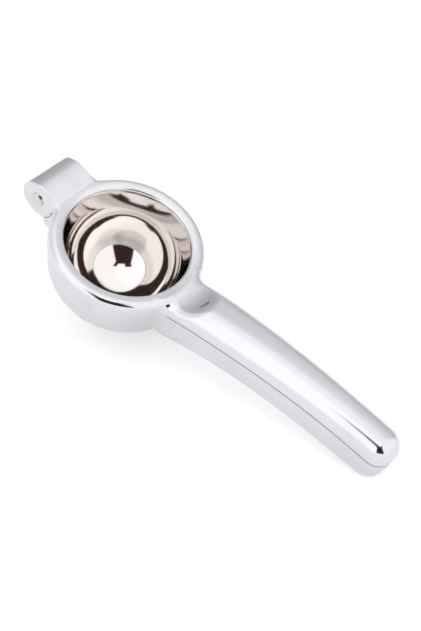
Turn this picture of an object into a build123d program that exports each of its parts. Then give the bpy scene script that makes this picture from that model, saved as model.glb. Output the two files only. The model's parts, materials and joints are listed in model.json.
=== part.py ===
from build123d import *

import os
from math import asin, atan2, cos, degrees, hypot, pi, radians, sin, sqrt

# Hinged citrus squeezer, in millimetres.
# It is drawn in the frame of its ring: the origin is the centre of the bowl's mouth, +X points to the
# handle's tip and +Z is up along the bowl's axis. At the end everything is turned to the way it lies
# on a table, on the strainer's bottom and the handle's tip, and the table becomes Z = 0.

# ---- driving dimensions ------------------------------------------------------------------------------

# press bowl: a deep drawn cup with a round bottom, its wall slightly drafted, its flange under the lip
mouth_radius = 31.0
bowl_inset = 0.1
bowl_draft = 1.1
bowl_wall = 1.0
bowl_base_radius = 2.0
bowl_straight = 10.2
flange_width = 2.4
flange_bend = 0.9

# upper ring
ring_band = 6.9
ring_crown = 2.0
ring_crown_inset = 3.0
ring_shoulder = 3.0
lip_height = 0.6
lip_fall = 0.6
lip_round = 0.8
lip_slope = 0.25
split_depth = 4.85
flange_clearance = 0.2

# lower ring
split_gap = 0.45
lower_ring_step = 0.9
lower_ring_bottom = -24.0
lower_ring_fall = 0.1
lower_ring_taper = 1.5
lower_ring_round = 3.0
throat_lap = 0.8

# strainer cup
press_clearance = 2.7
pulp_gap = 6.2
cup_wall = 0.9
cup_flange = 1.8
cup_seat_clearance = 0.3
cup_base_radius = 5.5
drain_radius = 1.6
drain_rows = 5
drain_pitch = 7.6

# handles: curves of four heights, at the root, two pulls and the tip
neck_length = 7.1
handle_length = 114.2
handle_half_widths = (12.6, 11.8, 9.3, 9.25)
crown_heights = (7.5, 17.8, 23.0, 23.0)
split_heights = (-2.9, 8.2, 13.2, 12.2)
bottom_heights = (-20.9, -4.3, -3.7, -1.3)
crown_fullness = 2.6
handle_bottom_round = 4.0
tip_round = 9.0
handle_wall = 2.8
neck_fillet = 7.0
neck_low_fillet = 2.0
split_flat_inset = 1.0
split_ease = 12.0
scoop_setback = 1.1
scoop_radius = 14.0
rib_thickness = 2.0
rib_spacing = 26.0
rib_setback = 3.5

# hinge
hinge_reach = 9.8
pin_z = -6.2
barrel_radius = 9.8
barrel_half_width = 12.8
block_crown = 4.2
crown_angle = 128.0
block_root = 2.5
block_inset = 1.0
block_fillet = 3.0
tongue_half_width = 5.0
tongue_side_clearance = 0.2
eye_radius = 7.0
eye_clearance = 0.3
seat_clearance = 0.3
seat_end_angle = -63.0
seat_lip = 1.0
heel_run = 2.3
heel_drop = 3.5
heel_rise = 0.5
edge_round = 0.5
slot_top_angle = -15.0
tongue_top_gap_angle = 3.0
tongue_bite = 1.5
tongue_back_angle = -85.0
opening_angle = 108.0
stop_clearance = 1.0
pin_radius = 3.0
pin_head_radius = 3.7
pin_head_height = 0.9
pin_press_clearance = 0.02
pin_running_clearance = 0.06

# ---- sizes that follow -------------------------------------------------------------------------------

ring_radius = mouth_radius + ring_band
bowl_radius = mouth_radius - bowl_inset - bowl_draft
bowl_outer_radius = bowl_radius + bowl_wall
flange_radius = mouth_radius + flange_width
lower_ring_radius = ring_radius - lower_ring_step
handle_root = ring_radius + neck_length
handle_tip = handle_root + handle_length
scoop_start = ring_radius + scoop_setback
pin_x = -ring_radius - hinge_reach
lower_top = -split_depth - split_gap
cup_radius = bowl_outer_radius + press_clearance
cup_outer_radius = cup_radius + cup_wall
bowl_centre = -lip_height - flange_bend - bowl_straight
cup_centre = bowl_centre - bowl_outer_radius - pulp_gap + cup_radius
cup_flange_radius = cup_outer_radius + cup_flange - cup_wall
seat_radius = barrel_radius + seat_clearance
slot_back_angle = tongue_back_angle - opening_angle - stop_clearance
crown_radius = ring_radius - ring_crown_inset
cup_throat_radius = cup_outer_radius + cup_seat_clearance
cavity_start = scoop_start + scoop_radius + handle_wall
lower_foot_radius = lower_ring_radius - lower_ring_taper
tip_angles = (25, 50, 70, 84)
neck_angles = (70, 45, 20, 0)
smallest_round = 1.0
fillet_reach = 0.98
arch_steps = 12
shaft_steps = 8
split_steps = 6
slot_steps = 6
round_pull = 0.5523
far = 2.0 * handle_tip


def blend(heights, x):
    """Cubic curve of x whose four control heights are evenly spaced from the handle's root to its tip."""
    s = (x - handle_root) / (handle_tip - handle_root)
    a, b, c, d = heights
    return (1 - s) ** 3 * a + 3 * (1 - s) ** 2 * s * b + 3 * (1 - s) * s**2 * c + s**3 * d


def point(x, z, y=0.0):
    return Vector(x, y, z)


def revolved(points_and_arcs):
    """Solid of revolution about Z from a closed list of edges in the XZ plane."""
    return revolve(Face(Wire(points_and_arcs)), Axis.Z)


def side_plate(edges, half_width):
    """Closed outline in the XZ plane, made a plate that reaches half_width to both sides of Y = 0."""
    face = Face(Wire(edges))
    return extrude(face, half_width, dir=(0, 1, 0)) + extrude(face, half_width, dir=(0, -1, 0))


def cross_cylinder(radius, half_width, x=pin_x, z=pin_z):
    """Cylinder along Y, centred on the pin unless told otherwise."""
    return Pos(x, 0, z) * Rot(90, 0, 0) * Cylinder(radius, 2 * half_width)


def polygon(points):
    return [Line(a, b) for a, b in zip(points, points[1:] + points[:1])]


# ---- handle: one closed body, later split into the two arms ------------------------------------------

def tip_inset(x):
    """How far the outline has drawn in at x, along the quarter circle that rounds the handle's tip."""
    into = x - (handle_tip - tip_round)
    return tip_round - sqrt(tip_round**2 - into**2) if into > 0 else 0.0


def neck_end(wall, radius):
    """Where a fillet of that radius in plan, against a ring wall of the given radius, meets the handle."""
    centre_y = handle_half_widths[0] + radius
    return sqrt((wall + radius) ** 2 - centre_y**2)


def neck_half_width(x, wall=ring_radius, radius=neck_fillet):
    """Half width of the handle, with the concave fillet where it meets the ring."""
    into = min(neck_end(wall, radius) - x, fillet_reach * radius)
    if into <= 0:
        return blend(handle_half_widths, max(x, handle_root))
    return handle_half_widths[0] + radius - sqrt(radius**2 - into**2)


def handle_section(x, inset=0.0):
    """Closed section across the handle: a full crown above the split line, a rounded box below it."""
    drawn_in = inset + tip_inset(x)
    half = neck_half_width(x) - drawn_in
    foot = neck_half_width(x, lower_foot_radius, neck_low_fillet) - drawn_in
    split = blend(split_heights, x)
    rise = blend(crown_heights, x) - drawn_in - split
    bottom = max(blend(bottom_heights, x), lower_ring_bottom) + drawn_in
    corner = min(max(handle_bottom_round - inset, smallest_round), 0.6 * foot)
    power = 2.0 / crown_fullness
    arch = []
    for step in range(arch_steps + 1):
        angle = pi * step / arch_steps
        across = abs(cos(angle)) ** power * (1 if 2 * step <= arch_steps else -1)
        arch.append(point(x, split + rise * sin(angle) ** power, half * across))
    arch[0] = point(x, split, half)
    arch[-1] = point(x, split, -half)
    low = bottom + corner
    dip = corner * (1 - sqrt(0.5))
    edges = [
        Spline(arch, tangents=[(0, 0, 1), (0, 0, -1)]),
        Line(arch[-1], point(x, low, -foot)),
        ThreePointArc(point(x, low, -foot), point(x, bottom + dip, dip - foot), point(x, bottom, corner - foot)),
        Line(point(x, bottom, corner - foot), point(x, bottom, foot - corner)),
        ThreePointArc(point(x, bottom, foot - corner), point(x, bottom + dip, foot - dip), point(x, low, foot)),
        Line(point(x, low, foot), arch[0]),
    ]
    return Face(Wire(edges))


def evenly(start, end, steps):
    return [start + (end - start) * i / steps for i in range(steps + 1)]


def handle_body():
    """Outer form of the handle; sections lie close together in the neck's fillet and the tip's round."""
    start = neck_end(ring_radius, neck_fillet)
    neck = [start - neck_fillet * sin(radians(a)) for a in neck_angles]
    shaft = evenly(handle_root, handle_tip - tip_round - smallest_round, shaft_steps)
    tip = [handle_tip - tip_round + tip_round * sin(radians(a)) for a in tip_angles]
    return loft([handle_section(x) for x in neck + shaft + tip])


def handle_room():
    """Inside of both handle channels: the outer form less the wall, closed by the solid tip."""
    stations = evenly(cavity_start, handle_tip - tip_round, shaft_steps)
    return loft([handle_section(x, handle_wall) for x in stations])


# ---- split between the arms --------------------------------------------------------------------------

def split_region(top, shift):
    """Everything above (top true) or below the split surface, which is moved by shift along Z."""
    flat_end = ring_radius - split_flat_inset
    level = -split_depth + shift
    rise_start = flat_end + split_ease
    knots = evenly(rise_start, handle_tip, split_steps)
    heights = [point(x, blend(split_heights, x) + shift) for x in knots]
    start = point(flat_end, level)
    wave = Spline([start] + heights, tangents=[(1, 0, 0), (1, 0, 0)])
    last = wave @ 1
    beyond = point(far, last.Z)
    edge = far if top else -far
    back = [Line(last, beyond), Line(beyond, point(far, edge)), Line(point(far, edge), point(-far, edge)),
            Line(point(-far, edge), point(-far, level)), Line(point(-far, level), start)]
    return side_plate([wave] + back, far)


above_split = split_region(True, 0.0)
below_split = split_region(False, -split_gap)


# ---- upper arm ---------------------------------------------------------------------------------------

def upper_ring():
    """Ring with a rounded crown, a thin lip over the bowl's flange and a recess below it."""
    recess = flange_radius + flange_clearance
    shoulder_z = ring_crown - ring_shoulder
    lip_top = ring_crown - lip_fall
    a = point(mouth_radius, -lip_height)
    b = point(mouth_radius, lip_top - lip_round)
    c = point(mouth_radius + lip_round, lip_top)
    d = point(crown_radius, ring_crown)
    e = point(ring_radius, shoulder_z)
    f = point(ring_radius, -split_depth)
    g = point(recess, -split_depth)
    h = point(recess, -lip_height)
    third = (d.X - c.X) / 3
    slope = Vector(1, 0, lip_slope)
    lip = Bezier(b, b + Vector(0, 0, round_pull * lip_round), c - slope * (round_pull * lip_round), c)
    rise = Bezier(c, c + slope * third, d - Vector(third, 0, 0), d)
    shoulder = Bezier(d, d + Vector(round_pull * ring_crown_inset, 0, 0),
                      e + Vector(0, 0, round_pull * ring_shoulder), e)
    return revolved([Line(a, b), lip, rise, shoulder, Line(e, f), Line(f, g), Line(g, h), Line(h, a)])


def scoop():
    """Round cutter about the bowl's axis: a flat floor at the ring's crown, curving up into the handle."""
    s45 = sqrt(0.5)
    a = point(0, ring_crown)
    b = point(scoop_start, ring_crown)
    mid = point(scoop_start + scoop_radius * s45, ring_crown + scoop_radius * (1 - s45))
    c = point(scoop_start + scoop_radius, ring_crown + scoop_radius)
    d = point(scoop_start + scoop_radius, far)
    e = point(0, far)
    return revolved([Line(a, b), ThreePointArc(b, mid, c), Line(c, d), Line(d, e), Line(e, a)])


def block_plan(height_from, height_to):
    """Plan outline of the hinge block, with a concave fillet at the ring on each side."""
    centre_y = barrel_half_width + block_fillet
    centre_x = -sqrt((ring_radius + block_fillet) ** 2 - centre_y**2)
    scale = ring_radius / (ring_radius + block_fillet)
    on_ring = (centre_x * scale, centre_y * scale)
    middle = ((centre_x + on_ring[0]) / 2, (barrel_half_width + on_ring[1]) / 2)
    away = hypot(middle[0] - centre_x, middle[1] - centre_y)
    bulge = (centre_x + (middle[0] - centre_x) / away * block_fillet,
             centre_y + (middle[1] - centre_y) / away * block_fillet)
    inner = 0.0
    left = pin_x - 2 * barrel_radius

    def place(x, y):
        return Vector(x, y, height_from)

    edges = [Line(place(left, barrel_half_width), place(centre_x, barrel_half_width)),
             ThreePointArc(place(centre_x, barrel_half_width), place(*bulge), place(*on_ring)),
             Line(place(*on_ring), place(inner, on_ring[1])),
             Line(place(inner, on_ring[1]), place(inner, -on_ring[1])),
             Line(place(inner, -on_ring[1]), place(on_ring[0], -on_ring[1])),
             ThreePointArc(place(on_ring[0], -on_ring[1]), place(bulge[0], -bulge[1]),
                           place(centre_x, -barrel_half_width)),
             Line(place(centre_x, -barrel_half_width), place(left, -barrel_half_width)),
             Line(place(left, -barrel_half_width), place(left, barrel_half_width))]
    return extrude(Face(Wire(edges)), height_to - height_from, dir=(0, 0, 1))


def hinge_block():
    """Ears and crown of the hinge: the barrel about the pin, the web to the ring and its flare there."""
    top = point(pin_x + block_inset, block_crown)
    near_ring = point(-ring_radius + block_inset, block_root)
    on_ring = point(-crown_radius, ring_crown)
    below = point(-crown_radius, -split_depth)
    floor_end = point(pin_x, -split_depth)
    lean_in = radians(crown_angle)
    crown_start = point(pin_x + barrel_radius * cos(lean_in), pin_z + barrel_radius * sin(lean_in))
    arch = Spline([crown_start, top, near_ring, on_ring], tangents=[(sin(lean_in), 0, -cos(lean_in)), (1, 0, 0)])
    outline = [arch, Line(on_ring, below), Line(below, floor_end), Line(floor_end, crown_start)]
    body = cross_cylinder(barrel_radius, barrel_half_width) + side_plate(outline, barrel_half_width)
    sides = body.faces().filter_by(Axis.Y).sort_by(SortBy.AREA)[-2:]
    curved = [edge for side in sides for edge in side.edges() if edge.geom_type != GeomType.LINE]
    flare = side_plate(outline, barrel_half_width + 2 * block_fillet) & block_plan(-far, far)
    flare = flare & (Pos(far / 2 - ring_radius, 0, 0) * Box(far, far, far))
    return fillet(curved, edge_round) + flare


def slot_cutter():
    """Room for the tongue in the barrel: round the eye, and open from the neck round to the back."""
    half = tongue_half_width + tongue_side_clearance
    round_eye = cross_cylinder(eye_radius + eye_clearance, half)
    reach = 2.0 * barrel_radius
    angles = evenly(slot_top_angle, slot_back_angle, slot_steps)
    fan = [point(pin_x, pin_z)]
    fan += [point(pin_x + reach * cos(radians(a)), pin_z + reach * sin(radians(a))) for a in angles]
    return round_eye + side_plate(polygon(fan), half)


def rib_row(side_region):
    """Cross ribs that stiffen a handle's channel, set back from the split between the handles."""
    room = handle_tip - tip_round - cavity_start
    count = int(room // rib_spacing)
    first = cavity_start + (room - (count - 1) * rib_spacing) / 2
    plates = [Pos(first + rib_spacing * i, 0, 0) * Box(rib_thickness, far, far) for i in range(count)]
    return [handle_cavity & side_region & plate for plate in plates]


ring_core = Cylinder(crown_radius, 2 * far)
handle_shell = handle_body()
handle_cavity = handle_room()

upper_handle = (handle_shell - ring_core - scoop() - handle_cavity) & above_split
upper_arm = upper_ring() + upper_handle + (hinge_block() - ring_core) + rib_row(split_region(True, rib_setback))
upper_arm = upper_arm - slot_cutter()
upper_arm = upper_arm - cross_cylinder(pin_radius + pin_press_clearance, 2 * barrel_half_width)

# ---- lower arm ---------------------------------------------------------------------------------------

def lower_ring():
    """Deep, slightly tapered ring wall whose underside falls towards the handle, with a rounded edge.

    Inside are a rebate for the cup's flange and a throat that follows the cup downwards.
    """
    low = lower_ring_bottom - 2.0 * lower_ring_fall * ring_radius
    taper = lower_ring_taper / (lower_top - lower_ring_bottom)
    top = point(lower_ring_radius, lower_top)
    foot = point(lower_ring_radius - taper * (lower_top - low), low)
    wall = revolved(polygon([point(0, lower_top), top, foot, point(0, low)]))
    tilt = degrees(atan2(lower_ring_fall, 1.0))
    under = Pos(0, 0, lower_ring_bottom) * Rot(0, tilt, 0) * Pos(0, 0, -far / 2) * Box(far, far, far)
    wall = wall - under
    rim = wall.faces().sort_by(Axis.Z)[0].edges()
    wall = fillet(rim, lower_ring_round)
    rebate = cup_flange_radius + cup_seat_clearance
    seat = lower_top - cup_wall
    room = Pos(0, 0, cup_centre) * Sphere(cup_throat_radius)
    room += Pos(0, 0, (seat + cup_centre) / 2) * Cylinder(cup_throat_radius, seat - cup_centre)
    room += Pos(0, 0, seat + far / 2) * Cylinder(rebate, far)
    return wall - room


def underside(x):
    """Height of the lower ring's falling underside at x."""
    return lower_ring_bottom - lower_ring_fall * x


def neck():
    """Hinge side of the lower arm: a full-width seat hollowed round the barrel, running into the ring."""
    heel_x = pin_x + seat_radius * cos(radians(seat_end_angle))
    heel_z = pin_z + seat_radius * sin(radians(seat_end_angle))
    outside = polygon([
        point(-mouth_radius, lower_top),
        point(pin_x + seat_radius + seat_lip, lower_top),
        point(pin_x, pin_z),
        point(heel_x, heel_z),
        point(heel_x + heel_run, heel_z - heel_drop),
        point(-lower_ring_radius, underside(-lower_ring_radius) + heel_rise),
        point(-mouth_radius, underside(-mouth_radius) + heel_rise),
    ])
    return (side_plate(outside, 2 * barrel_half_width) & block_plan(-far, far)) - cross_cylinder(seat_radius, far)


def tongue():
    """Middle tongue from the neck to the eye round the pin."""
    eye = cross_cylinder(eye_radius, tongue_half_width)
    into = seat_radius + tongue_bite
    upper = slot_top_angle - tongue_top_gap_angle
    lower = seat_end_angle
    web = polygon([
        point(pin_x, pin_z),
        point(pin_x + eye_radius * cos(radians(upper)), pin_z + eye_radius * sin(radians(upper))),
        point(pin_x + into * cos(radians(upper)), pin_z + into * sin(radians(upper))),
        point(pin_x + into * cos(radians(lower)), pin_z + into * sin(radians(lower))),
        point(pin_x + eye_radius * cos(radians(tongue_back_angle)),
              pin_z + eye_radius * sin(radians(tongue_back_angle))),
    ])
    return eye + side_plate(web, tongue_half_width)


throat = cup_throat_radius + throat_lap
lower_core = Pos(0, 0, cup_centre) * Sphere(throat) + Pos(0, 0, cup_centre + far) * Cylinder(throat, 2 * far)
lower_handle = (handle_shell - lower_core - handle_cavity) & below_split
lower_arm = lower_ring() + lower_handle + (neck() - lower_core) + tongue()
lower_arm = lower_arm + rib_row(split_region(False, -split_gap - rib_setback))
lower_arm = lower_arm - cross_cylinder(pin_radius + pin_running_clearance, 2 * barrel_half_width)

# ---- bowls -------------------------------------------------------------------------------------------


def flanged_cup(radius, wall, centre_z, top, flange, bend, base, draft=0.0):
    """Round-bottomed cup with a flat base, a wall that widens by the draft, a flat flange and a bent corner."""
    s45 = sqrt(0.5)
    outer = radius + wall
    mouth = radius + draft
    low = centre_z - sqrt(outer**2 - base**2)
    bottom = low + wall
    inner_base = sqrt(radius**2 - (centre_z - bottom) ** 2)
    edges = [
        Line(point(0, bottom), point(0, low)),
        Line(point(0, low), point(base, low)),
        ThreePointArc(point(base, low), point(outer * s45, centre_z - outer * s45), point(outer, centre_z)),
        Line(point(outer, centre_z), point(outer + draft, top - wall)),
        Line(point(outer + draft, top - wall), point(flange, top - wall)),
        Line(point(flange, top - wall), point(flange, top)),
        Line(point(flange, top), point(mouth + bend, top)),
        ThreePointArc(point(mouth + bend, top), point(mouth + bend * (1 - s45), top - bend * (1 - s45)),
                      point(mouth, top - bend)),
        Line(point(mouth, top - bend), point(radius, centre_z)),
        ThreePointArc(point(radius, centre_z), point(radius * s45, centre_z - radius * s45),
                      point(inner_base, bottom)),
        Line(point(inner_base, bottom), point(0, bottom)),
    ]
    return revolved(edges)


press_bowl = flanged_cup(bowl_radius, bowl_wall, bowl_centre, -lip_height, flange_radius, flange_bend,
                         bowl_base_radius, bowl_draft)


def drain_holes():
    """Rows of round drain holes, square to the cup's wall, evenly spaced along each row."""
    middle = cup_radius + cup_wall / 2
    step = degrees(drain_pitch / middle)
    drills = []
    for row in range(drain_rows):
        tilt = step * (row + 1)
        count = round(2 * pi * middle * sin(radians(tilt)) / drain_pitch)
        for hole in range(count):
            turn = 360.0 * (hole + 0.5 * (row % 2)) / count
            drill = Pos(0, 0, -middle) * Cylinder(drain_radius, 6 * cup_wall)
            drills.append(Pos(0, 0, cup_centre) * Rot(0, 0, turn) * Rot(0, tilt, 0) * drill)
    return drills


strainer_cup = flanged_cup(cup_radius, cup_wall, cup_centre, lower_top, cup_flange_radius, cup_wall,
                           cup_base_radius)
strainer_cup = strainer_cup - drain_holes()

# ---- hinge pin ---------------------------------------------------------------------------------------

hinge_pin = cross_cylinder(pin_radius, barrel_half_width)
for side in (-1, 1):
    head = Pos(0, side * (barrel_half_width + pin_head_height / 2), 0)
    hinge_pin += head * cross_cylinder(pin_head_radius, pin_head_height / 2)

# ---- the way it lies on a table ----------------------------------------------------------------------

tip_low_x = handle_tip - tip_round
tip_low_z = blend(bottom_heights, tip_low_x) + tip_round
cup_to_tip = hypot(tip_low_x, tip_low_z - cup_centre)
lean = atan2(tip_low_z - cup_centre, tip_low_x) + asin((cup_outer_radius - tip_round) / cup_to_tip)

pieces = {"upper_arm": upper_arm, "press_bowl": press_bowl, "lower_arm": lower_arm,
          "strainer_cup": strainer_cup, "hinge_pin": hinge_pin}
turned = {name: Rot(0, degrees(lean), 0) * piece for name, piece in pieces.items()}
boxes = [piece.bounding_box() for piece in turned.values()]
low_x = min(box.min.X for box in boxes)
high_x = max(box.max.X for box in boxes)
low_z = min(box.min.Z for box in boxes)
shift = Pos(-(low_x + high_x) / 2, 0, -low_z)

os.makedirs("parts", exist_ok=True)
for name, piece in turned.items():
    export_step(shift * piece, f"parts/{name}.step")

lie_down = shift * Rot(0, degrees(lean), 0)
print("lean in degrees", round(degrees(lean), 4))
for label, x, z in (("mouth centre", 0, 0), ("pin", pin_x, pin_z), ("cup centre", 0, cup_centre)):
    print(label, (lie_down * Pos(x, 0, z)).position)
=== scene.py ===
"""Hinged citrus squeezer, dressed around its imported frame.

Shapes are worked out in millimetres in the frame of the press bowl: the origin is the centre of the bowl's
mouth, +X points to the handle's tip and +Z is up along the bowl's axis. lie_down() turns them to the way
the squeezer lies on a table and changes them to metres.
"""

import json
from math import atan2, cos, pi, radians, sin

import bmesh
import bpy
import numpy as np
from mathutils import Matrix


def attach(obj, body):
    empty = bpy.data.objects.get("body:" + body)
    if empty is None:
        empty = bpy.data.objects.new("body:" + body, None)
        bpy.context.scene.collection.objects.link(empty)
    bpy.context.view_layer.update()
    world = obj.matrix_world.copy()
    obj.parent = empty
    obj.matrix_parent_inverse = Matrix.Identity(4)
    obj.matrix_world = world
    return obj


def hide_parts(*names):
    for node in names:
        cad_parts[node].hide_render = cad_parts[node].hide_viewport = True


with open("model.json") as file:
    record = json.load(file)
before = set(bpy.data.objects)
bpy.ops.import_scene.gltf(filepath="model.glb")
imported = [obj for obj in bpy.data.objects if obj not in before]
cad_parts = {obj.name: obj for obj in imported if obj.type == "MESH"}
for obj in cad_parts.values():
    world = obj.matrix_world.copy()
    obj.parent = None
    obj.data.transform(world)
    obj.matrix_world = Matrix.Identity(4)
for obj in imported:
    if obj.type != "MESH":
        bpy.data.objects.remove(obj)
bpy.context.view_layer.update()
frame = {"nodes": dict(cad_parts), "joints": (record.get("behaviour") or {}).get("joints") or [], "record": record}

# ---- driving dimensions, in millimetres ---------------------------------------------------------------

# Press bowl, and the crowned ring and lip that hold it.
mouth_radius = 31.0
bowl_radius = 29.8
bowl_draft = 1.1
bowl_wall = 1.0
bowl_centre = -11.7
bowl_bend = 0.9
bowl_top = -0.6
bowl_flange_radius = 33.4
ring_radius = 37.9
ring_crown = 2.0
ring_round = 3.0
lip_height = 0.6
lip_fall = 0.6
lip_overrun = 1.1
lip_round = 0.8
recess_radius = 33.6
split_depth = 4.85
split_gap = 0.45

# Ring wall of the lower arm.
lower_ring_radius = 37.0
lower_ring_bottom = -24.0
lower_ring_fall = 0.1
lower_ring_taper = 1.5
lower_ring_round = 3.0

# Room for the strainer cup in the lower ring.
cup_centre = -15.2
cup_throat_radius = 34.7
cup_rebate_radius = 35.6
cup_wall = 0.9

# Handle: four control heights or half widths, evenly spaced from its root to its tip.
handle_root = 45.0
handle_tip = 159.19
handle_half_widths = (12.6, 11.8, 9.3, 9.25)
crown_heights = (7.5, 17.8, 23.0, 23.0)
split_heights = (-2.9, 8.2, 13.2, 12.2)
bottom_heights = (-20.9, -4.3, -3.7, -1.3)
crown_fullness = 2.6
handle_bottom_round = 4.0
tip_round = 9.0
handle_wall = 2.8
neck_fillet = 7.0
neck_low_fillet = 2.0
upper_neck_blend = 2.0
lower_neck_blend = 1.5
lower_handle_start = 29.6
split_flat_inset = 1.0
split_ease = 12.0
scoop_start = 39.0
scoop_radius = 14.0
scoop_blend = 3.0
rib_thickness = 2.0
rib_spacing = 26.0
rib_setback = 3.5

# Hinge: pin, barrel and block of the upper arm, seat and tongue of the lower arm.
pin_x = -47.7
pin_z = -6.2
pin_radius = 3.0
pin_head_radius = 3.7
pin_head_height = 0.9
pin_head_round = 0.3
barrel_radius = 9.8
barrel_half_width = 12.8
block_crown = 4.2
block_root = 2.5
block_slope = -0.16
block_inset = 1.0
block_fillet = 4.0
block_lift_share = 0.85
crown_angle = radians(128.0)
edge_round = 0.6
edge_change_start = 8.5
edge_change_run = 7.5
seat_radius = 10.1
seat_round = 0.8
seat_blend = 2.0
seat_end_angle = radians(-63.0)
heel_run = 2.3
heel_drop = 3.5
heel_rise = 0.5
tongue_half_width = 5.0
tongue_clearance = 0.2
eye_radius = 7.0
eye_clearance = 0.3
slot_top_angle = radians(-15.0)
slot_back_angle = radians(-194.0)
tongue_top_angle = radians(-18.0)
tongue_back_angle = radians(-85.0)
tongue_reach = 11.6

# Grid for the arms' skins, and the boxes in which they are sought.
mesh_step = 0.55
upper_arm_room = ((-58.7, -38.8, -17.1), (160.1, 38.8, 24.1))
lower_arm_room = ((-55.7, -37.7, -28.6), (160.1, 37.7, 13.9))

# Points on the turned pieces: round the axis, and along the arcs of their profiles.
bowl_turns = 288
bowl_steps = 90
bend_steps = 12
pin_turns = 72
head_steps = 6

# ---- sizes that follow --------------------------------------------------------------------------------

crown_radius = ring_radius - ring_round
lower_top = -split_depth - split_gap
cavity_start = scoop_start + scoop_radius + handle_wall
cavity_end = handle_tip - tip_round

# ---- distance fields: negative inside a form, positive outside, zero on its surface -------------------


def rounded_and(a, b, radius):
    """Common part of two forms, its edge rounded: distance from the edge's arc where both are near."""
    corner = np.hypot(np.maximum(a + radius, 0), np.maximum(b + radius, 0))
    return np.minimum(np.maximum(a, b), -radius) + corner


def soft_or(a, b, reach):
    """Union of two forms with a fillet: the lesser field, less a parabola where they are within reach."""
    near = np.maximum(reach - np.abs(a - b), 0)
    return np.minimum(a, b) - near**2 / (4 * reach)


def soft_and(a, b, reach):
    """Common part of two forms with a softened edge: the greater field, plus a parabola near the edge."""
    return -soft_or(-a, -b, reach)


def ease(t):
    """Smooth step: 3t^2 - 2t^3, held at 0 and 1 outside."""
    t = np.clip(t, 0, 1)
    return t * t * (3 - 2 * t)


def along(heights, x):
    """Cubic over the handle's length in Bernstein form, from four evenly spaced control heights."""
    s = (x - handle_root) / (handle_tip - handle_root)
    a, b, c, d = heights
    return (1 - s) ** 3 * a + 3 * (1 - s) ** 2 * s * b + 3 * (1 - s) * s**2 * c + s**3 * d


def hermite(x, knots, heights, slopes):
    """Piecewise cubic through the knots' heights with their slopes, level outside the first and last."""
    knots, heights, slopes = np.array(knots), np.array(heights), np.array(slopes)
    x = np.clip(x, knots[0], knots[-1])
    i = np.clip(np.searchsorted(knots, x) - 1, 0, len(knots) - 2)
    span = knots[i + 1] - knots[i]
    t = (x - knots[i]) / span
    return ((1 + 2 * t) * (1 - t) ** 2 * heights[i] + t * (1 - t) ** 2 * span * slopes[i]
            + t**2 * (3 - 2 * t) * heights[i + 1] - t**2 * (1 - t) * span * slopes[i + 1])


def parting(x):
    """Height of the line between the arms: level round the ring, then along the handle's split curve."""
    flat_end = ring_radius - split_flat_inset
    rise_start = flat_end + split_ease
    step = 0.01
    height = along(split_heights, rise_start)
    slope = (along(split_heights, rise_start + step) - height) / step
    eased = hermite(x, (flat_end, rise_start), (-split_depth, height), (0.0, slope))
    return np.where(x < rise_start, eased, along(split_heights, x))


def neck_half_width(x, z):
    """Half width of the handle, flared by a concave quarter circle where it meets the ring.

    Below the split the circle follows the lower ring's taper and shrinks to neck_low_fillet at the bottom.
    """
    depth = np.clip((lower_top - z) / (lower_top - lower_ring_bottom), 0, 1)
    fillet = neck_fillet + (neck_low_fillet - neck_fillet) * depth
    wall = np.where(z > lower_top, ring_radius, lower_ring_radius - lower_ring_taper * depth)
    centre = handle_half_widths[0] + fillet
    end = np.sqrt((wall + fillet) ** 2 - centre**2)
    into = np.clip(end - x, 0, 0.98 * fillet)  # just short of the circle's end, where it stands upright
    straight = np.minimum(along(handle_half_widths, x), handle_half_widths[0])
    return np.where(x > end, straight, centre - np.sqrt(fillet**2 - into**2))


def handle_shaft(x, y, z):
    """Endless handle: superellipse (|y|/half)^n + (up/rise)^n = 1 above the split, upright sides below it."""
    half = neck_half_width(x, z)
    base = along(split_heights, x)
    rise = along(crown_heights, x) - base
    across = np.abs(y) / half + 1e-6
    up = np.maximum(z - base, 0) / rise
    total = across**crown_fullness + up**crown_fullness
    steep = np.hypot(across ** (crown_fullness - 1) / half, up ** (crown_fullness - 1) / rise)
    skin = (total ** (1 / crown_fullness) - 1) / (steep * total ** (1 / crown_fullness - 1))
    low = np.maximum(along(bottom_heights, x), lower_ring_bottom)
    return rounded_and(skin, low - z, handle_bottom_round)


def handle(x, y, z, r, start):
    """Both handle halves together, from a start radius inside the ring to the rounded tip."""
    shaft = rounded_and(handle_shaft(x, y, z), x - handle_tip, tip_round)
    return np.maximum(np.maximum(shaft, start - r), -x)


def handle_channel(x, y, z, rib_side):
    """Hollow inside the handle, without the ribs that stand in it on the side that rib_side is negative."""
    hollow = np.maximum(handle_shaft(x, y, z) + handle_wall, np.maximum(cavity_start - x, x - cavity_end))
    count = int((cavity_end - cavity_start) // rib_spacing)
    middle = (cavity_start + cavity_end) / 2
    nearest = np.clip(np.round((x - middle) / rib_spacing + (count - 1) / 2), 0, count - 1)
    rib_x = middle + (nearest - (count - 1) / 2) * rib_spacing
    rib = np.maximum(np.abs(x - rib_x) - rib_thickness / 2, rib_side)
    return np.maximum(hollow, -rib)


def turned(x, z, angle, side):
    """Half plane through the pin: side 1 keeps what lies clockwise of the ray at that angle, -1 the rest."""
    return side * ((z - pin_z) * cos(angle) - (x - pin_x) * sin(angle))


def beyond(x, z, a, b):
    """Distance to the left of the line from a to b in the XZ plane."""
    run = np.array(b) - np.array(a)
    run = run / np.hypot(*run)
    return run[0] * (z - a[1]) - run[1] * (x - a[0])


def round_the_pin(radius, angle):
    """Point (x, z) at a radius from the pin's axis and an angle up from +X."""
    return pin_x + radius * cos(angle), pin_z + radius * sin(angle)


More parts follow.
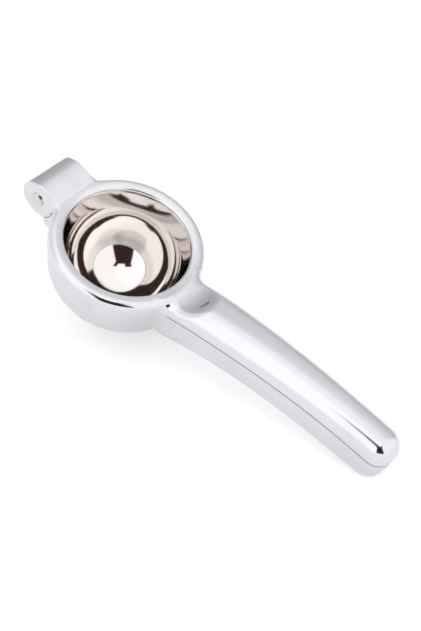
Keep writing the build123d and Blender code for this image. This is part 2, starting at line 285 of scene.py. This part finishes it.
def block_top(x):
    """Height of the hinge block: up from the barrel at the crown angle, then down to the ring's crest.

    It leaves the barrel at block_lift_share of the barrel's own slope there.
    """
    start_x, start_z = round_the_pin(barrel_radius, crown_angle)
    knots = (start_x, pin_x + block_inset, -ring_radius + block_inset, -crown_radius)
    return hermite(x, knots, (start_z, block_crown, block_root, ring_crown),
                   (-block_lift_share / np.tan(crown_angle), 0.0, block_slope, 0.0))


def upper_shell(x, y, z, r):
    """Ring and hinge block: one plan outline with fillets, one top surface, a rounded edge between them.

    From the crown to the mouth the top falls with the square of the share of that way, and lip_overrun is the
    share past the mouth at which the fall ends.
    """
    outline = soft_or(r - ring_radius, np.maximum(np.abs(y) - barrel_half_width, x), block_fillet)
    inward = np.clip((crown_radius - r) / (crown_radius - mouth_radius), 0, lip_overrun)
    top = ring_crown - lip_fall * inward**2 + np.where(x < -crown_radius, block_top(x) - ring_crown, 0)
    change = ease((x - pin_x - edge_change_start) / edge_change_run)
    radius = edge_round + (ring_round - edge_round) * change
    shell = rounded_and(outline, z - top, radius)
    behind = beyond(x, z, (pin_x, -split_depth), round_the_pin(barrel_radius, crown_angle))
    return np.maximum(shell, behind)


def upper_arm_form(x, y, z):
    """Upper arm: ring, hinge block and handle above the parting, and the barrel.

    Taken out of them are the mouth, the seat of the bowl's flange, the hollow in the handle, the slot for the
    tongue and the pin's hole.
    """
    r = np.hypot(x, y)
    from_pin = np.hypot(x - pin_x, z - pin_z)
    scoop = rounded_and(r - scoop_start - scoop_radius, ring_crown - z, scoop_radius)
    shaft = soft_and(handle(x, y, z, r, crown_radius), -scoop, scoop_blend)
    arm = soft_or(upper_shell(x, y, z, r), shaft, upper_neck_blend)
    arm = np.maximum(arm, parting(x) - z)
    barrel = rounded_and(from_pin - barrel_radius, np.abs(y) - barrel_half_width, edge_round)
    arm = np.minimum(arm, barrel)
    arm = rounded_and(arm, mouth_radius - r, lip_round)
    arm = np.maximum(arm, -np.maximum(r - recess_radius, z + lip_height))
    arm = np.maximum(arm, -handle_channel(x, y, z, parting(x) + rib_setback - z))
    back = np.maximum(turned(x, z, slot_top_angle, 1), turned(x, z, slot_back_angle, -1))
    slot = np.maximum(np.minimum(from_pin - eye_radius - eye_clearance, back),
                      np.abs(y) - tongue_half_width - tongue_clearance)
    return np.maximum(np.maximum(arm, -slot), pin_radius - from_pin)


def lower_arm_form(x, y, z):
    """Lower arm: tapered ring wall and handle below the parting, hinge seat and tongue.

    Taken out of them are the barrel's room, the strainer cup's room, the hollow in the handle and the pin's
    hole.
    """
    r = np.hypot(x, y)
    from_pin = np.hypot(x - pin_x, z - pin_z)
    taper = lower_ring_taper / (lower_top - lower_ring_bottom)
    wall = r - lower_ring_radius + taper * (lower_top - z)
    under = lower_ring_bottom - lower_ring_fall * x - z
    ring = rounded_and(wall, under, lower_ring_round)
    arm = soft_or(ring, handle(x, y, z, r, lower_handle_start), lower_neck_blend)
    lid = z - parting(x) + split_gap
    arm = np.maximum(arm, lid)
    heel = round_the_pin(seat_radius, seat_end_angle)
    foot = (heel[0] + heel_run, heel[1] - heel_drop)
    low = lower_ring_bottom + heel_rise
    seat = np.maximum(beyond(x, z, foot, heel), beyond(x, z, (0, low), foot))
    seat = np.maximum(seat, seat_radius - from_pin)
    seat = np.maximum(np.maximum(seat, lid), x + mouth_radius)
    seat = rounded_and(seat, np.abs(y) - barrel_half_width, seat_round)
    arm = soft_or(arm, seat, seat_blend)
    arm = np.maximum(np.maximum(arm, lid), seat_radius - from_pin)
    near = round_the_pin(tongue_reach, tongue_top_angle)
    far = round_the_pin(tongue_reach, seat_end_angle)
    back = round_the_pin(eye_radius, tongue_back_angle)
    web = np.maximum(turned(x, z, tongue_top_angle, 1), beyond(x, z, far, back))
    web = np.maximum(np.maximum(web, beyond(x, z, back, (pin_x, pin_z))), beyond(x, z, near, far))
    tongue = np.maximum(np.minimum(from_pin - eye_radius, web), np.abs(y) - tongue_half_width)
    arm = np.minimum(arm, tongue)
    seat_z = lower_top - cup_wall
    room = np.where(z < cup_centre, np.hypot(r, z - cup_centre) - cup_throat_radius, r - cup_throat_radius)
    room = np.minimum(room, np.maximum(r - cup_rebate_radius, seat_z - z))
    arm = np.maximum(arm, -room)
    arm = np.maximum(arm, -handle_channel(x, y, z, z - parting(x) + split_gap + rib_setback))
    return np.maximum(arm, pin_radius - from_pin)


# ---- meshing ------------------------------------------------------------------------------------------

slices = 12  # parts in which the grid is worked out, to save memory
root_steps = 5  # steps of false position along a grid edge
hold = 0.03  # weight that keeps a vertex near its crossings' middle
cell_margin = 0.1  # how far a vertex may leave its cell, as a share of the cell
smooth_agreement = 0.985  # least length of the mean of a smooth cell's normals
settle_steps = 2  # Newton's steps onto the surface
settle_reach = 0.3  # the furthest that one such step moves a vertex, in millimetres
least_slope = 0.2  # the least slope of the field that such a step divides by
corner_inset = 0.35  # share of the way to its quad's middle at which a sharp corner takes its normal


def gradient(form, p, reach=0.01):
    """Central differences of the field, as unit vectors, with their lengths before that."""
    g = np.empty_like(p)
    for axis in range(3):
        step = np.zeros(3)
        step[axis] = reach
        g[:, axis] = form(*(p + step).T) - form(*(p - step).T)
    g /= 2 * reach
    size = np.linalg.norm(g, axis=1, keepdims=True)
    return g / np.maximum(size, 1e-9), size


def crossings(form, low, step, values, axis):
    """Points where the grid's edges along an axis cross the surface, with each edge's place in the grid.

    Each is found by false position: the chord between the distances at both ends gives a point, which takes
    the place of the end on its own side. The last result says whether the edge starts inside the form.
    """
    inside = np.moveaxis(values < 0, axis, 0)
    index = np.argwhere(np.moveaxis(inside[1:] != inside[:-1], 0, axis))
    ahead = index.copy()
    ahead[:, axis] += 1
    start = low + step * index
    run = np.zeros(3)
    run[axis] = step
    fa, fb = values[tuple(index.T)], values[tuple(ahead.T)]
    ta, tb = np.zeros(len(index)), np.ones(len(index))
    starts_inside = fa < 0
    for _ in range(root_steps):
        t = ta + (tb - ta) * fa / (fa - fb)
        f = form(*(start + t[:, None] * run).T)
        same = (f < 0) == starts_inside
        ta, fa = np.where(same, t, ta), np.where(same, f, fa)
        tb, fb = np.where(same, tb, t), np.where(same, fb, f)
    t = ta + (tb - ta) * fa / np.where(fa == fb, 1, fa - fb)
    return start + t[:, None] * run, index, starts_inside


def cells_around(index, axis, counts):
    """Numbers of the four grid cells round each edge, in their order round the axis."""
    b, c = (axis + 1) % 3, (axis + 2) % 3
    around = []
    for back_b, back_c in ((1, 1), (0, 1), (0, 0), (1, 0)):
        cell = index.copy()
        cell[:, b] -= back_b
        cell[:, c] -= back_c
        around.append(np.ravel_multi_index(cell.T, counts))
    return np.stack(around, 1)


def cell_vertices(points, normals, owner, corner, step):
    """One vertex in each cell, where its squared distances to the crossings' tangent planes add up least.

    A small weight, hold, keeps it near the crossings' middle, and it stays within cell_margin of its cell.
    The surface counts as smooth where the mean of the crossings' normals is almost as long as each of them.
    """
    def total(values):
        """Sum over each cell's crossings."""
        return np.bincount(owner, weights=values, minlength=len(corner))

    count = np.bincount(owner)
    middle = np.stack([total(points[:, a]) for a in range(3)], 1) / count[:, None]
    mean = np.stack([total(normals[:, a]) for a in range(3)], 1) / count[:, None]
    off = np.einsum("ij,ij->i", normals, points - middle[owner])
    products = np.empty((len(corner), 3, 3))
    pulls = np.empty((len(corner), 3))
    for a in range(3):
        pulls[:, a] = total(normals[:, a] * off)
        for b in range(3):
            products[:, a, b] = total(normals[:, a] * normals[:, b])
    products += hold * np.eye(3)
    shift = np.linalg.solve(products, pulls[:, :, None])[:, :, 0]
    vertices = np.clip(middle + shift, corner - cell_margin * step, corner + (1 + cell_margin) * step)
    return vertices, np.linalg.norm(mean, axis=1) > smooth_agreement


def level_surface(form, low, high, step):
    """Surface on which a form's distance is zero: vertices, quads, and a normal for each quad's corners.

    The distance is worked out on a grid. Each cell that the surface passes gets a vertex, and each grid edge
    that it crosses gets a quad of the four cells round it. Vertices on smooth stretches then settle onto the
    surface by Newton's steps. A corner on a sharp edge takes its normal from a point further into its quad.
    """
    low = np.array(low, float)
    counts = np.ceil((np.array(high) - low) / step).astype(int) + 1
    xs, ys, zs = (low[a] + step * np.arange(counts[a]) for a in range(3))
    parts = np.array_split(xs, slices)
    values = np.concatenate([form(part[:, None, None], ys[:, None], zs) for part in parts])
    points, normals, cells, quads = [], [], [], []
    for axis in range(3):
        crossing, index, starts_inside = crossings(form, low, step, values, axis)
        around = cells_around(index, axis, counts)
        quads.append(np.where(starts_inside[:, None], around, around[:, ::-1]))
        points += [crossing] * 4
        normals += [gradient(form, crossing)[0]] * 4
        cells += list(around.T)
    ids, owner = np.unique(np.concatenate(cells), return_inverse=True)
    corner = low + step * np.stack(np.unravel_index(ids, counts), 1)
    vertices, smooth = cell_vertices(np.concatenate(points), np.concatenate(normals), owner, corner, step)
    for _ in range(settle_steps):
        near = vertices[smooth]
        direction, slope = gradient(form, near)
        move = form(*near.T)[:, None] / np.maximum(slope, least_slope)
        vertices[smooth] = near - np.clip(move, -settle_reach, settle_reach) * direction
    quads = np.searchsorted(ids, np.concatenate(quads))
    corners = gradient(form, vertices)[0][quads]
    edgy = ~smooth[quads]
    centre = vertices[quads].mean(1, keepdims=True)
    inset = ((1 - corner_inset) * vertices[quads] + corner_inset * centre)[edgy]
    corners[edgy] = gradient(form, inset)[0]
    return vertices, quads, corners


# ---- from the bowl's frame to the table ---------------------------------------------------------------

base_axis = frame["record"]["mounts"][0]["axis"]
pin_place = frame["joints"][0]["pos_m"]
lean = atan2(-base_axis[0], -base_axis[2])
lie = np.array([[cos(lean), 0, sin(lean)], [0, 1, 0], [-sin(lean), 0, cos(lean)]])
mouth_place = np.array(pin_place) * 1000 - lie @ np.array([pin_x, 0, pin_z])


def lie_down(points):
    """Turn by the lean about Y, shift to the mouth's place and change millimetres to metres."""
    return (np.asarray(points) @ lie.T + mouth_place) / 1000


def new_piece(name, vertices, faces, corner_normals=None):
    """Smooth mesh object at the origin from arrays of points and faces, and corner normals where given."""
    mesh = bpy.data.meshes.new(name)
    mesh.vertices.add(len(vertices))
    mesh.vertices.foreach_set("co", lie_down(vertices).astype(np.float32).ravel())
    sides = faces.shape[1]
    mesh.loops.add(faces.size)
    mesh.loops.foreach_set("vertex_index", faces.astype(np.int32).ravel())
    mesh.polygons.add(len(faces))
    mesh.polygons.foreach_set("loop_start", np.arange(0, faces.size, sides, dtype=np.int32))
    mesh.polygons.foreach_set("use_smooth", np.ones(len(faces), bool))
    mesh.update(calc_edges=True)
    if corner_normals is not None:
        mesh.normals_split_custom_set((corner_normals.reshape(-1, 3) @ lie.T).astype(np.float32))
    piece = bpy.data.objects.new(name, mesh)
    bpy.context.scene.collection.objects.link(piece)
    return piece


def surface_piece(name, form, room):
    """Piece whose skin is the surface on which the form's distance is zero, inside a box in millimetres."""
    return new_piece(name, *level_surface(form, *room, mesh_step))


def lathe(profile, turns, axis="z", centre=(0.0, 0.0, 0.0)):
    """Profile (radius, height) carried round Z: point = (radius cos t, radius sin t, height).

    Axis "y" lays that down so that the height runs along -Y. Gives vertices and quads for new_piece.
    """
    profile = np.array(profile)
    t = 2 * pi * np.arange(turns) / turns
    grid = np.stack([np.outer(profile[:, 0], np.cos(t)), np.outer(profile[:, 0], np.sin(t)),
                     np.repeat(profile[:, 1:], turns, 1)], -1)
    if axis == "y":
        grid = np.stack([grid[..., 0], grid[..., 2], -grid[..., 1]], -1)
    row, column = np.mgrid[0:len(profile) - 1, 0:turns]
    ahead = (column + 1) % turns
    faces = np.stack([row * turns + column, row * turns + ahead,
                      (row + 1) * turns + ahead, (row + 1) * turns + column], -1).reshape(-1, 4)
    return grid.reshape(-1, 3) + np.array(centre), faces


def arc(centre, radius, start, end, steps):
    """Points on a circle in the profile's plane, angles in degrees from the outward direction."""
    t = np.radians(np.linspace(start, end, steps + 1))
    return list(zip(centre[0] + radius * np.cos(t), centre[1] + radius * np.sin(t)))


def close_and_crease(piece, angle=35.0):
    """Merge the points at the poles, turn the faces outward and crease the edges sharper than the angle."""
    work = bmesh.new()
    work.from_mesh(piece.data)
    bmesh.ops.remove_doubles(work, verts=work.verts, dist=1e-6)
    bmesh.ops.recalc_face_normals(work, faces=work.faces)
    work.to_mesh(piece.data)
    work.free()
    piece.data.set_sharp_from_angle(angle=radians(angle))
    return piece


# ---- effects that several finishes share --------------------------------------------------------------


def node(tree, kind, inputs=None, **settings):
    """New node with its settings, and with its inputs set to values or joined to other nodes' outputs."""
    made = tree.nodes.new(kind)
    for name, value in settings.items():
        setattr(made, name, value)
    for name, value in (inputs or {}).items():
        if isinstance(value, bpy.types.NodeSocket):
            tree.links.new(value, made.inputs[name])
        else:
            made.inputs[name].default_value = value
    return made


def group(name, inputs, outputs):
    """Empty shader node group with number or vector inputs and with outputs of the given kinds."""
    tree = bpy.data.node_groups.new(name, "ShaderNodeTree")
    for label, value in inputs.items():
        kind = "NodeSocketVector" if isinstance(value, tuple) else "NodeSocketFloat"
        socket = tree.interface.new_socket(label, in_out="INPUT", socket_type=kind)
        socket.default_value = value
    for label, kind in outputs.items():
        tree.interface.new_socket(label, in_out="OUTPUT", socket_type=kind)
    return tree, tree.nodes.new("NodeGroupInput").outputs, tree.nodes.new("NodeGroupOutput").inputs


def maths(tree, operation, first, second=0.0, third=0.0, clamp=False):
    """Output of a new math node whose inputs are numbers or other nodes' outputs."""
    made = node(tree, "ShaderNodeMath", operation=operation, use_clamp=clamp)
    for socket, value in zip(made.inputs, (first, second, third)):
        if isinstance(value, bpy.types.NodeSocket):
            tree.links.new(value, socket)
        else:
            socket.default_value = value
    return made.outputs[0]


def dot(tree, first, second):
    """Output of a new node with the dot product of two vectors."""
    made = node(tree, "ShaderNodeVectorMath", operation="DOT_PRODUCT")
    tree.links.new(first, made.inputs[0])
    tree.links.new(second, made.inputs[1])
    return made.outputs["Value"]


def make_polish_wave():
    """Unevenness that polishing leaves: a noise field as a bump, Height deep.

    Its widest waves are 1/Scale metres. Each octave is half as wide as the one before, Grain times as high.
    """
    tree, given, result = group("polish_wave", {"Scale": 60.0, "Height": 0.00002, "Octaves": 1.5,
                                                "Grain": 0.5}, {"Normal": "NodeSocketVector"})
    place = node(tree, "ShaderNodeTexCoord").outputs["Object"]
    noise = node(tree, "ShaderNodeTexNoise", {"Vector": place, "Scale": given["Scale"],
                                              "Detail": given["Octaves"], "Roughness": given["Grain"]})
    bump = node(tree, "ShaderNodeBump", {"Height": noise.outputs["Fac"], "Distance": given["Height"]})
    tree.links.new(bump.outputs["Normal"], result["Normal"])
    return tree


def make_handling():
    """Smudges and wipe marks: broad noise times stretched fine noise, as a mask from 0 to 1."""
    tree, given, result = group("handling", {"Scale": 35.0, "Amount": 0.5}, {"Mask": "NodeSocketFloat"})
    place = node(tree, "ShaderNodeTexCoord").outputs["Object"]
    broad = node(tree, "ShaderNodeTexNoise", {"Vector": place, "Scale": given["Scale"], "Detail": 3.0})
    patch = node(tree, "ShaderNodeMapRange", {"Value": broad.outputs["Fac"],
                                              "From Min": 0.45, "From Max": 0.75})
    stretch = node(tree, "ShaderNodeMapping", {"Vector": place, "Scale": (4.0, 60.0, 60.0)})
    fine = node(tree, "ShaderNodeTexNoise", {"Vector": stretch.outputs[0], "Scale": given["Scale"],
                                             "Detail": 5.0})
    mixed = maths(tree, "MULTIPLY", patch.outputs[0], fine.outputs["Fac"])
    tree.links.new(maths(tree, "MULTIPLY", mixed, given["Amount"], clamp=True), result["Mask"])
    return tree


def make_along_axis():
    """Mask from 0 to 1 between the distances Low and High along Axis, counted from the point Start.

    It grows by the smooth step 3t^2 - 2t^3 of the share t of that way.
    """
    tree, given, result = group("along_axis", {"Start": (0.0, 0.0, 0.0), "Axis": (0.0, 0.0, 1.0), "Low": 0.0,
                                               "High": 0.01}, {"Mask": "NodeSocketFloat"})
    place = node(tree, "ShaderNodeTexCoord").outputs["Object"]
    offset = node(tree, "ShaderNodeVectorMath", operation="SUBTRACT")
    tree.links.new(place, offset.inputs[0])
    tree.links.new(given["Start"], offset.inputs[1])
    grown = node(tree, "ShaderNodeMapRange", {"Value": dot(tree, offset.outputs[0], given["Axis"]),
                                              "From Min": given["Low"], "From Max": given["High"]},
                 interpolation_type="SMOOTHSTEP")
    tree.links.new(grown.outputs[0], result["Mask"])
    return tree


polish_wave = make_polish_wave()
handling = make_handling()
along_axis = make_along_axis()


# ---- finishes -----------------------------------------------------------------------------------------


def polished_metal(name, tint, worn_tint, gloss, worn_gloss, wave_scale, wave_height, marks,
                   octaves=1.5, grain=0.5, worn_heights=None):
    """Bare bright metal: worn tint and gloss where it was handled, a faint wave in its polish.

    Gloss is the roughness at its least, worn_gloss at its most. Given two heights in millimetres from the bowl's
    mouth, it also takes the darker tint and gloss above the second, as painted shade, and fades to its plain tint
    below the first.
    """
    material = bpy.data.materials.new(name)
    material.use_nodes = True
    tree = material.node_tree
    shader = tree.nodes["Principled BSDF"]
    shader.inputs["Metallic"].default_value = 1.0
    worn = node(tree, "ShaderNodeGroup", {"Amount": marks}, node_tree=handling).outputs[0]
    # Painted shade: the mask below puts the darker tint on the bowl's wall near its mouth, above the second
    # height.
    if worn_heights:
        above = {"Start": tuple(lie_down((0.0, 0.0, 0.0))), "Axis": tuple(lie @ (0.0, 0.0, 1.0)),
                 "Low": worn_heights[0] / 1000, "High": worn_heights[1] / 1000}
        wall = node(tree, "ShaderNodeGroup", above, node_tree=along_axis)
        worn = maths(tree, "MAXIMUM", worn, wall.outputs[0])
    wave = node(tree, "ShaderNodeGroup", {"Scale": wave_scale, "Height": wave_height, "Octaves": octaves,
                                          "Grain": grain}, node_tree=polish_wave)
    colour = node(tree, "ShaderNodeMix", {"Factor": worn, "A": (*tint, 1), "B": (*worn_tint, 1)},
                  data_type="RGBA")
    rough = node(tree, "ShaderNodeMapRange", {"Value": worn, "To Min": gloss, "To Max": worn_gloss})
    tree.links.new(colour.outputs["Result"], shader.inputs["Base Color"])
    tree.links.new(rough.outputs[0], shader.inputs["Roughness"])
    tree.links.new(wave.outputs[0], shader.inputs["Normal"])
    return material


chrome = polished_metal("bright_chrome", tint=(0.82, 0.83, 0.86), worn_tint=(0.66, 0.67, 0.70),
                        gloss=0.10, worn_gloss=0.22, wave_scale=60.0, wave_height=0.00004, marks=0.9,
                        octaves=6.0, grain=0.72)
# Painted shade: the bowl's wall takes the darker tint from its mouth down to 10 mm, fading out by 17 mm down.
bowl_steel = polished_metal("drawn_steel", tint=(0.93, 0.89, 0.865), worn_tint=(0.76, 0.735, 0.72),
                            gloss=0.06, worn_gloss=0.07, wave_scale=45.0, wave_height=0.00002, marks=0.2,
                            worn_heights=(-17.0, -10.0))
cup_steel = polished_metal("strainer_steel", tint=(0.80, 0.78, 0.76), worn_tint=(0.72, 0.70, 0.68),
                           gloss=0.10, worn_gloss=0.22, wave_scale=80.0, wave_height=0.00002, marks=0.8)
pin_steel = polished_metal("ground_steel", tint=(0.80, 0.75, 0.73), worn_tint=(0.70, 0.65, 0.62),
                           gloss=0.14, worn_gloss=0.25, wave_scale=300.0, wave_height=0.00002, marks=0.9)


# ---- pieces -------------------------------------------------------------------------------------------


def dress(piece, body, material, slot, *nodes):
    """Give a piece its finish, the body it rides on and the nodes it takes the place of. Its slot is not used."""
    piece.data.materials.append(material)
    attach(piece, body)
    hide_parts(*nodes)
    return piece


def make_arms():
    """Both castings, each the skin of its own form."""
    upper = surface_piece("upper_arm_skin", upper_arm_form, upper_arm_room)
    dress(upper, "upper", chrome, "chromed_casting", "upper_arm")
    lower = surface_piece("lower_arm_skin", lower_arm_form, lower_arm_room)
    dress(lower, "lower", chrome, "chromed_casting", "lower_arm")


def make_bowl():
    """Drawn bowl: half circle at the bottom, drafted wall, a bend at the mouth and a flange under the lip."""
    outer = bowl_radius + bowl_wall
    mouth = bowl_radius + bowl_draft
    profile = [(0.0, bowl_centre - outer)] + arc((0, bowl_centre), outer, -89, 0, bowl_steps)
    profile += [(mouth + bowl_wall, bowl_top - bowl_wall), (bowl_flange_radius, bowl_top - bowl_wall),
                (bowl_flange_radius, bowl_top)]
    profile += arc((mouth + bowl_bend, bowl_top - bowl_bend), bowl_bend, 90, 180, bend_steps)
    profile += arc((0, bowl_centre), bowl_radius, 0, -89, bowl_steps) + [(0.0, bowl_centre - bowl_radius)]
    bowl = close_and_crease(new_piece("press_bowl_shell", *lathe(profile, bowl_turns)))
    dress(bowl, "upper", bowl_steel, "polished_steel", "press_bowl")


def make_pin():
    """Riveted pin across the ears, with a low flat head at each end, its edge rounded."""
    end = barrel_half_width + pin_head_height
    head = arc((pin_head_radius - pin_head_round, end - pin_head_round), pin_head_round, 90, 0, head_steps)
    half = [(0.0, end)] + head + [(pin_head_radius, barrel_half_width), (pin_radius, barrel_half_width)]
    profile = half + [(radius, -height) for radius, height in reversed(half)]
    pin = close_and_crease(new_piece("rivet_pin", *lathe(profile, pin_turns, "y", (pin_x, 0.0, pin_z))))
    dress(pin, "upper", pin_steel, "pin_steel", "hinge_pin")


def finish_strainer():
    """The strainer cup keeps its own solid, with its drain holes, and gets its steel."""
    strainer = frame["nodes"]["strainer_cup"]
    strainer.data.materials.clear()
    strainer.data.materials.append(cup_steel)


make_arms()
make_bowl()
make_pin()
finish_strainer()


# ---- floor, light and camera --------------------------------------------------------------------------

# Floor: half its side in metres, its tint, and what is added so that it looks white.
floor_half = 3.0
floor_tint = (0.88, 0.88, 0.89, 1)
floor_shown_to_camera = 0.42
floor_shown_in_metal = 0.20

# Tent: its even level, and the stand's centre, right and up as directions in the bowl's frame.
tent_level = 1.04
stand_darkness = 0.965
stand_tint = (1.0, 0.55, 0.46, 1)
stand_axes = ((0.336, -0.574, 0.747), (-0.709, -0.676, -0.201), (0.620, -0.462, -0.634))

# Camera: degrees and millimetres in the bowl's frame, and the picture's size in pixels.
view_turn, view_height, view_roll = -70.53, 54.611, 26.149
view_distance = 500.0
image_width, image_height = 421, 631
pixels_per_mm = 2.10
mouth_pixel = (127.922, 242.553)
sensor = 36.0


def make_floor():
    """Plain pale floor that the camera sees as white, with the object's soft shadow left in it."""
    corners = [(x * floor_half, y * floor_half, 0.0) for x, y in ((-1, -1), (1, -1), (1, 1), (-1, 1))]
    mesh = bpy.data.meshes.new("floor")
    mesh.from_pydata(corners, [], [(0, 1, 2, 3)])
    floor = bpy.data.objects.new("floor", mesh)
    bpy.context.scene.collection.objects.link(floor)
    material = bpy.data.materials.new("pale_floor")
    material.use_nodes = True
    tree = material.node_tree
    tree.nodes.clear()
    path = node(tree, "ShaderNodeLightPath")
    diffuse = node(tree, "ShaderNodeBsdfDiffuse", {"Color": floor_tint})
    shown = maths(tree, "MULTIPLY", path.outputs["Is Camera Ray"], floor_shown_to_camera)
    shown = maths(tree, "MULTIPLY_ADD", path.outputs["Is Glossy Ray"], floor_shown_in_metal, shown)
    lift = node(tree, "ShaderNodeEmission", {"Color": (1, 1, 1, 1), "Strength": shown})
    both = node(tree, "ShaderNodeAddShader")
    tree.links.new(diffuse.outputs[0], both.inputs[0])
    tree.links.new(lift.outputs[0], both.inputs[1])
    node(tree, "ShaderNodeOutputMaterial", {"Surface": both.outputs[0]})
    mesh.materials.append(material)


def make_panel_group():
    """Mask of a four-sided panel in the sky.

    The direction is cast on the plane across Centre, a to its Right and b to its Up, both from the panel's
    own middle at Shift and Lift. Inside is where |a - Slant * b| is under Half width + Widening * b and where
    |b| is under Half height, with an edge as wide as Softness. What lies behind is left out.
    """
    tree, given, result = group("sky_panel", {
        "Direction": (0.0, 0.0, 1.0), "Centre": (0.0, 0.0, 1.0), "Right": (1.0, 0.0, 0.0),
        "Up": (0.0, 1.0, 0.0), "Shift": 0.0, "Lift": 0.0, "Slant": 0.0, "Half width": 0.3, "Widening": 0.0,
        "Half height": 0.3, "Softness": 0.05,
    }, {"Mask": "NodeSocketFloat"})
    ahead = dot(tree, given["Direction"], given["Centre"])
    near = maths(tree, "MAXIMUM", ahead, 0.01)

    def cast(side, middle):
        """Place along one side of the plane, counted from the panel's middle."""
        place = maths(tree, "DIVIDE", dot(tree, given["Direction"], given[side]), near)
        return maths(tree, "SUBTRACT", place, given[middle])

    def inside(limit, value):
        """1 where the value is well under the limit, 0 where it is well over, half way at the limit."""
        gap = maths(tree, "SUBTRACT", limit, maths(tree, "ABSOLUTE", value))
        return maths(tree, "ADD", maths(tree, "DIVIDE", gap, given["Softness"]), 0.5, clamp=True)

    up = cast("Up", "Lift")
    across = maths(tree, "SUBTRACT", cast("Right", "Shift"), maths(tree, "MULTIPLY", up, given["Slant"]))
    width = maths(tree, "MULTIPLY_ADD", up, given["Widening"], given["Half width"])
    mask = maths(tree, "MULTIPLY", inside(width, across), inside(given["Half height"], up))
    front = maths(tree, "GREATER_THAN", ahead, 0.02)
    tree.links.new(maths(tree, "MULTIPLY", mask, front), result["Mask"])
    return tree


def facing(azimuth, elevation):
    """Axes of an upright panel: its direction, at an azimuth and an elevation in degrees, right and up."""
    a, e = radians(azimuth), radians(elevation)
    centre = np.array([cos(a) * cos(e), sin(a) * cos(e), sin(e)])
    right = np.cross(centre, (0, 0, 1))
    right /= np.linalg.norm(right)
    return centre, right, np.cross(right, centre)


def make_world():
    """Light tent: an even white, darker at the back and on the left, with a dark camera stand overhead."""
    world = bpy.data.worlds.new("light_tent")
    bpy.context.scene.world = world
    world.use_nodes = True
    tree = world.node_tree
    tree.nodes.clear()
    direction = node(tree, "ShaderNodeTexCoord").outputs["Generated"]
    panel = make_panel_group()

    def masked(axes, **sizes):
        """Mask of one panel with its axes, and its sizes under the group's own names."""
        places = {side: tuple(axis) for side, axis in zip(("Centre", "Right", "Up"), axes)}
        named = {name.replace("_", " ").capitalize(): value for name, value in sizes.items()}
        made = node(tree, "ShaderNodeGroup", {"Direction": direction, **places, **named}, node_tree=panel)
        return made.outputs[0]

    stand = [lie @ axis for axis in stand_axes]
    dark = masked(stand, lift=0.11, half_width=0.35, widening=0.20, half_height=0.46)
    legs = (masked(stand, shift=-0.25, lift=-0.33, slant=0.7, half_width=0.07, half_height=0.13),
            masked(stand, shift=0.14, lift=-0.34, slant=-0.3, half_width=0.12, half_height=0.14))
    for leg in legs:
        dark = maths(tree, "MAXIMUM", dark, leg)
    camera_ray = node(tree, "ShaderNodeLightPath").outputs["Is Camera Ray"]
    dark = maths(tree, "MULTIPLY", dark, maths(tree, "SUBTRACT", 1.0, camera_ray))

    overhead = masked(facing(-95, 50), half_width=0.5, half_height=1.0, softness=0.5)
    back = masked(facing(110, 15), half_width=1.3, half_height=1.0, softness=0.5)
    horizon = masked(facing(110, 0), half_width=1.3, half_height=0.6, softness=0.8)
    left = masked(facing(180, 25), half_width=0.8, half_height=0.9, softness=0.6)
    level = tent_level
    for mask, change in ((overhead, 0.14), (back, -0.30), (horizon, -0.17), (left, -0.18)):
        level = maths(tree, "MULTIPLY_ADD", mask, change, level)
    kept = maths(tree, "SUBTRACT", 1.0, maths(tree, "MULTIPLY", dark, stand_darkness))
    level = maths(tree, "MULTIPLY", level, kept)

    colour = node(tree, "ShaderNodeMix", {"Factor": dark, "A": (1, 1, 1, 1), "B": stand_tint},
                  data_type="RGBA")
    seen = maths(tree, "MAXIMUM", camera_ray, level)
    light = node(tree, "ShaderNodeBackground", {"Color": colour.outputs["Result"], "Strength": seen})
    node(tree, "ShaderNodeOutputWorld", {"Surface": light.outputs[0]})


def make_camera():
    """Camera over the bowl: its axis at the view's turn and height, rolled, the mouth at its pixel."""
    turn, height, roll = radians(view_turn), radians(view_height), radians(view_roll)
    back = np.array([cos(turn) * cos(height), sin(turn) * cos(height), sin(height)])
    level = np.array([-sin(turn), cos(turn), 0.0])
    upright = np.cross(back, level)
    right = cos(roll) * level + sin(roll) * upright
    up = cos(roll) * upright - sin(roll) * level
    mouth_right = (mouth_pixel[0] - image_width / 2) / pixels_per_mm
    mouth_up = -(mouth_pixel[1] - image_height / 2) / pixels_per_mm
    place = view_distance * back - mouth_right * right - mouth_up * up
    data = bpy.data.cameras.new("camera")
    data.sensor_fit = "VERTICAL"
    data.sensor_height = sensor
    data.sensor_width = sensor
    data.lens = pixels_per_mm * view_distance / image_height * sensor
    camera = bpy.data.objects.new("camera", data)
    bpy.context.scene.collection.objects.link(camera)
    matrix = np.eye(4)
    matrix[:3, :3] = lie @ np.stack([right, up, back], 1)
    matrix[:3, 3] = lie_down(place)
    camera.matrix_world = Matrix(matrix.tolist())
    bpy.context.scene.camera = camera


make_floor()
make_world()
make_camera()
bpy.context.scene.view_settings.view_transform = "Standard"

bpy.context.view_layer.update()
